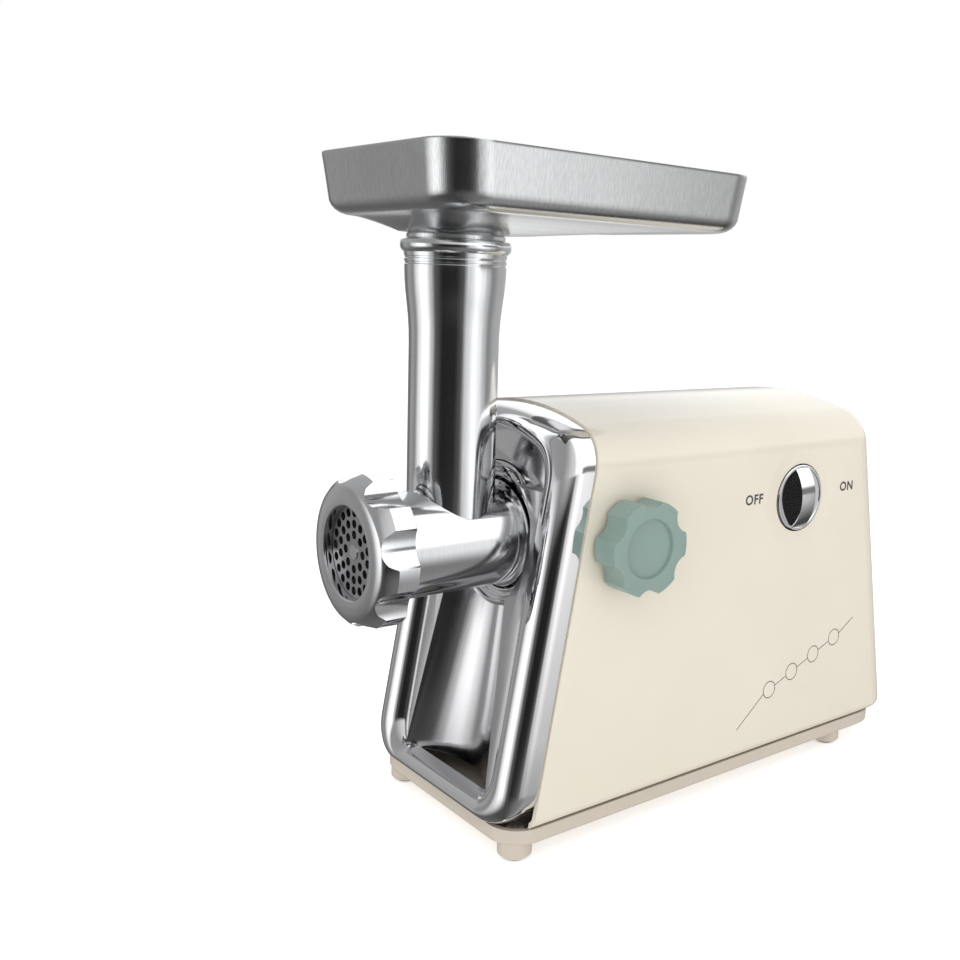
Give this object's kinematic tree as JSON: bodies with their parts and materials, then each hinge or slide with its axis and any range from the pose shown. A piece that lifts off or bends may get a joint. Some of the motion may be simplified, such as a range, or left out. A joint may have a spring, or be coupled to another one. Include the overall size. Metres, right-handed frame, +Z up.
{
  "type": "electric meat grinder",
  "caption": "Electric meat grinder with a metal meat tray, feed tube and lobed ring nut on a cream housing with a raked bright front, locking knob and rotary switch.",
  "frame": {"origin": "on the floor at the centre of the whole outline; the barrel, the feed tube and the motor stand on X = -0.00925", "axes": "+Z up, -Y the grinding end, +X the side with the switch and the locking knob"},
  "size_m": [0.1699, 0.4082, 0.3855],
  "materials": {
    "cream_plastic": "gloss cream ABS",
    "cream_base": "satin cream ABS",
    "black_rubber": "matt",
    "chrome_plate": "mirror-bright plated",
    "steel_polished": "polished stainless",
    "steel_brushed": "vertically brushed stainless",
    "aluminium_polished": "polished cast aluminium",
    "cast_grey": "sand-cast, painted grey",
    "sage_plastic": "satin sage green",
    "steel_plain": "turned steel",
    "bronze": "sintered bronze",
    "brass": "turned brass",
    "nylon_white": "moulded nylon",
    "black_plastic": "moulded phenolic",
    "copper_winding": "enamelled copper",
    "laminations": "varnished steel stack",
    "carbon": "pressed carbon",
    "grey_rubber": "matt",
    "blue_film": "film capacitor case"
  },
  "bodies": {
    "machine": {"main_housing": "cream_plastic", "base_tray": "cream_base", "front_cover": "chrome_plate", "socket_ring": "chrome_plate", "drive_socket": "cast_grey", "lock_bushing": "steel_plain", "switch_body": "black_plastic", "switch_bracket": "steel_plain", "second_axle": "steel_plain", "first_axle": "steel_plain", "gearbox_case": "cast_grey", "gearbox_cover": "cast_grey", "output_bush_front": "bronze", "output_bush_rear": "bronze", "stator_core": "laminations", "field_coils": "copper_winding", "motor_front_bracket": "cast_grey", "motor_rear_bracket": "cast_grey", "front_bearing": "steel_plain", "rear_bearing": "steel_plain", "brush_board": "black_plastic", "brush_holders": "brass", "carbon_brushes": "carbon", "brush_springs": "steel_plain", "motor_mount_front": "grey_rubber", "motor_mount_rear": "grey_rubber", "motor_tie_bolts": "steel_plain", "cord_gland": "black_rubber", "terminal_block": "black_plastic", "circuit_breaker": "black_plastic", "suppressor": "blue_film", "base_screws": "steel_plain", "socket_screws": "steel_plain", "gearbox_screws": "steel_plain", "foot_pad_front_left": "black_rubber", "foot_pad_front_right": "black_rubber", "foot_pad_rear_left": "black_rubber", "foot_pad_rear_right": "black_rubber"},
    "head": {"head_casting": "aluminium_polished"},
    "auger": {"auger": "aluminium_polished", "knife": "steel_plain"},
    "hole_plate": {"hole_plate": "steel_plain"},
    "ring_nut": {"ring_nut": "aluminium_polished"},
    "meat_tray": {"meat_tray": "steel_brushed"},
    "lock_pad": {"lock_thrust_pad": "brass"},
    "lock_knob": {"lock_knob": "sage_plastic", "lock_screw": "steel_plain"},
    "switch_dial": {"switch_dial": "chrome_plate"},
    "output": {"output_gear": "steel_plain", "output_shaft": "steel_plain"},
    "second_cluster": {"second_wheel": "steel_plain", "second_pinion": "steel_plain"},
    "first_cluster": {"first_wheel": "nylon_white", "first_pinion": "steel_plain"},
    "armature": {"motor_shaft": "steel_plain", "motor_pinion": "steel_plain", "rotor_core": "laminations", "commutator": "copper_winding", "cooling_fan": "black_plastic"}
  },
  "joints": [
    {"name": "head_slide", "type": "slide", "parent": "machine", "child": "head", "axis": [0, -1, 0], "range_m": [0, 0.06]},
    {"name": "tray_lift", "type": "slide", "parent": "head", "child": "meat_tray", "axis": [0, 0, 1], "range_m": [0, 0.04]},
    {"name": "auger_spin", "type": "hinge", "parent": "head", "child": "auger", "pos_m": [-0.00925, -0.1419, 0.1709], "axis": [0, -1, 0], "continuous": true},
    {"name": "nut_travel", "type": "slide", "parent": "head", "child": "hole_plate", "axis": [0, -1, 0], "range_m": [0, 0.012]},
    {"name": "nut_turn", "type": "hinge", "parent": "hole_plate", "child": "ring_nut", "pos_m": [-0.00925, -0.1919, 0.1709], "axis": [0, -1, 0], "range_deg": [0, 1440]},
    {"name": "lock_travel", "type": "slide", "parent": "machine", "child": "lock_pad", "axis": [1, 0, 0], "range_m": [0, 0.006]},
    {"name": "lock_turn", "type": "hinge", "parent": "lock_pad", "child": "lock_knob", "pos_m": [0.05075, -0.0678, 0.1758], "axis": [1, 0, 0], "range_deg": [0, 1440]},
    {"name": "switch_turn", "type": "hinge", "parent": "machine", "child": "switch_dial", "pos_m": [0.06575, 0.0796, 0.1875], "axis": [1, 0, 0], "range_deg": [-45, 45]},
    {"name": "armature_spin", "type": "hinge", "parent": "machine", "child": "armature", "pos_m": [-0.00925, 0.0481, 0.075], "axis": [0, -1, 0], "continuous": true},
    {"name": "first_spin", "type": "hinge", "parent": "machine", "child": "first_cluster", "pos_m": [0.0108, -0.0269, 0.10669], "axis": [0, -1, 0], "continuous": true},
    {"name": "second_spin", "type": "hinge", "parent": "machine", "child": "second_cluster", "pos_m": [-0.03525, -0.0369, 0.11544], "axis": [0, -1, 0], "continuous": true},
    {"name": "output_spin", "type": "hinge", "parent": "machine", "child": "output", "pos_m": [-0.00925, -0.0369, 0.1709], "axis": [0, -1, 0], "continuous": true}
  ],
  "couplings": [
    {"joint": "first_spin", "follows": "armature_spin", "ratio": -0.25},
    {"joint": "second_spin", "follows": "armature_spin", "ratio": 0.0625},
    {"joint": "output_spin", "follows": "armature_spin", "ratio": -0.015625},
    {"joint": "auger_spin", "follows": "armature_spin", "ratio": -0.015625},
    {"joint": "nut_travel", "follows": "nut_turn", "m_per_rad": 0.00047746},
    {"joint": "lock_travel", "follows": "lock_turn", "m_per_rad": 0.00023873}
  ]
}
